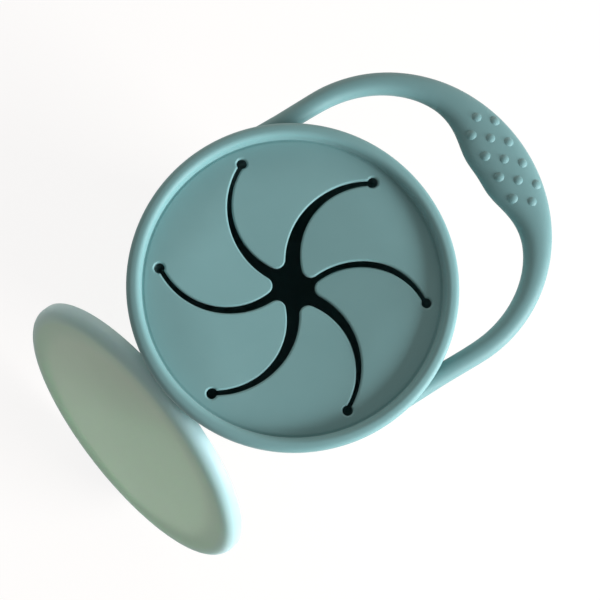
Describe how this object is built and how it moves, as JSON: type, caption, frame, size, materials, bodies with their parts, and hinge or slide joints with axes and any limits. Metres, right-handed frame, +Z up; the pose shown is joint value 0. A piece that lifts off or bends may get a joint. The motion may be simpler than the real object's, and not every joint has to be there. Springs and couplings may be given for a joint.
{
  "type": "toddler snack container",
  "caption": "Soft round snack cup with a loop handle, a flap lid cut into curved petals round a star opening, and a separate milky cover leaning against its side.",
  "frame": {"origin": "centre of the cup's flat foot, on the table", "axes": "+Z up along the cup's axis, +X towards the middle of the handle's grip"},
  "size_m": [0.1599, 0.101, 0.095],
  "materials": {
    "silicone": "matt",
    "milky": "satin"
  },
  "bodies": {
    "cup": {"cup": "silicone"},
    "handle": {"handle": "silicone"},
    "lid": {"lid_ring": "silicone"},
    "cover": {"cover": "milky"},
    "flap_1": {"flap_1": "silicone"},
    "flap_2": {"flap_2": "silicone"},
    "flap_3": {"flap_3": "silicone"},
    "flap_4": {"flap_4": "silicone"},
    "flap_5": {"flap_5": "silicone"},
    "flap_6": {"flap_6": "silicone"}
  },
  "joints": [
    {"name": "handle_flex", "type": "hinge", "parent": "cup", "child": "handle", "pos_m": [0.0225, 0, 0.0854], "axis": [0, -1, 0], "range_deg": [-30, 35], "stiffness_Nm_per_rad": 0.3, "springref_deg": 0.52},
    {"name": "lid_lift", "type": "slide", "parent": "cup", "child": "lid", "axis": [0, 0, 1], "range_m": [0, 0.045]},
    {"name": "cover_away", "type": "slide", "parent": "cup", "child": "cover", "axis": [-0.9903, -0.1392, 0], "range_m": [0, 0.08]},
    {"name": "flap_1_bend", "type": "hinge", "parent": "lid", "child": "flap_1", "pos_m": [0.0203, 0.02524, 0.0904], "axis": [0.7793, -0.6266, 0], "range_deg": [-56, 54], "stiffness_Nm_per_rad": 0.006, "springref_deg": -0.86},
    {"name": "flap_2_bend", "type": "hinge", "parent": "lid", "child": "flap_2", "pos_m": [-0.01171, 0.0302, 0.0904], "axis": [0.9323, 0.3616, 0], "range_deg": [-56, 54], "stiffness_Nm_per_rad": 0.006, "springref_deg": -0.86},
    {"name": "flap_3_bend", "type": "hinge", "parent": "lid", "child": "flap_3", "pos_m": [-0.03201, 0.00496, 0.0904], "axis": [0.153, 0.9882, 0], "range_deg": [-56, 54], "stiffness_Nm_per_rad": 0.006, "springref_deg": -0.86},
    {"name": "flap_4_bend", "type": "hinge", "parent": "lid", "child": "flap_4", "pos_m": [-0.0203, -0.02524, 0.0904], "axis": [-0.7793, 0.6266, 0], "range_deg": [-56, 54], "stiffness_Nm_per_rad": 0.006, "springref_deg": -0.86},
    {"name": "flap_5_bend", "type": "hinge", "parent": "lid", "child": "flap_5", "pos_m": [0.01171, -0.0302, 0.0904], "axis": [-0.9323, -0.3616, 0], "range_deg": [-56, 54], "stiffness_Nm_per_rad": 0.006, "springref_deg": -0.86},
    {"name": "flap_6_bend", "type": "hinge", "parent": "lid", "child": "flap_6", "pos_m": [0.03201, -0.00496, 0.0904], "axis": [-0.153, -0.9882, 0], "range_deg": [-56, 54], "stiffness_Nm_per_rad": 0.006, "springref_deg": -0.86}
  ]
}
